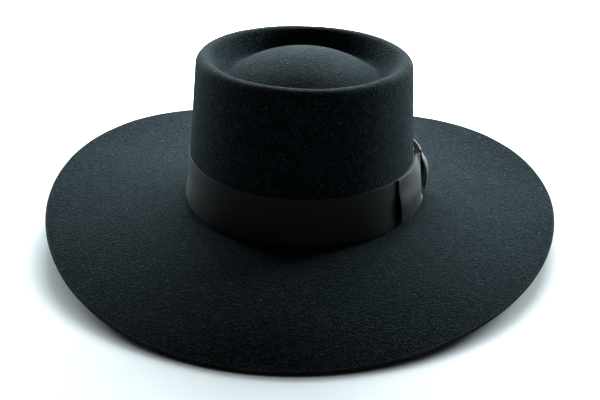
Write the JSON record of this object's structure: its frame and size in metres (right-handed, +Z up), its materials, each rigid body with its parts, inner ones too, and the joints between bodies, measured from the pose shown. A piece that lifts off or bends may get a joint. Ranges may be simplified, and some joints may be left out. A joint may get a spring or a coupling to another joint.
{
  "type": "wide brim felt hat",
  "caption": "Wide-brimmed black felt hat with an oval telescope crown, a grosgrain band with a side bow, and a leather sweatband and satin lining inside.",
  "frame": {"origin": "on the table, under the middle of the resting hat", "axes": "+Z up; -Y to the front of the hat; +X to the wearer's left, the side with the bow. The crown leans 3.4 degrees back and 1.8 degrees to +X, because the brim rests on its front and back edges."},
  "size_m": [0.4021, 0.4553, 0.1382],
  "materials": {
    "felt": "matte black fur felt with a fine nap",
    "grosgrain": "black grosgrain ribbon, fine cross ribs",
    "leather": "dark brown sweatband leather, satin",
    "satin": "black satin lining",
    "thread": "black sewing thread",
    "reed": "plain reed",
    "tag": "blank woven tag"
  },
  "bodies": {
    "root": {"felt_body": "felt", "hatband_ribbon": "grosgrain", "bow_backing": "grosgrain", "bow_front_loop": "grosgrain", "bow_rear_loop": "grosgrain", "bow_knot": "grosgrain", "bow_tacks": "thread", "sweatband": "leather", "sweatband_reed": "reed", "sweatband_stitching": "thread", "sweatband_back_bow": "satin", "size_tag": "tag", "lining_side": "satin", "lining_tip": "satin", "lining_piping": "satin"}
  },
  "joints": []
}
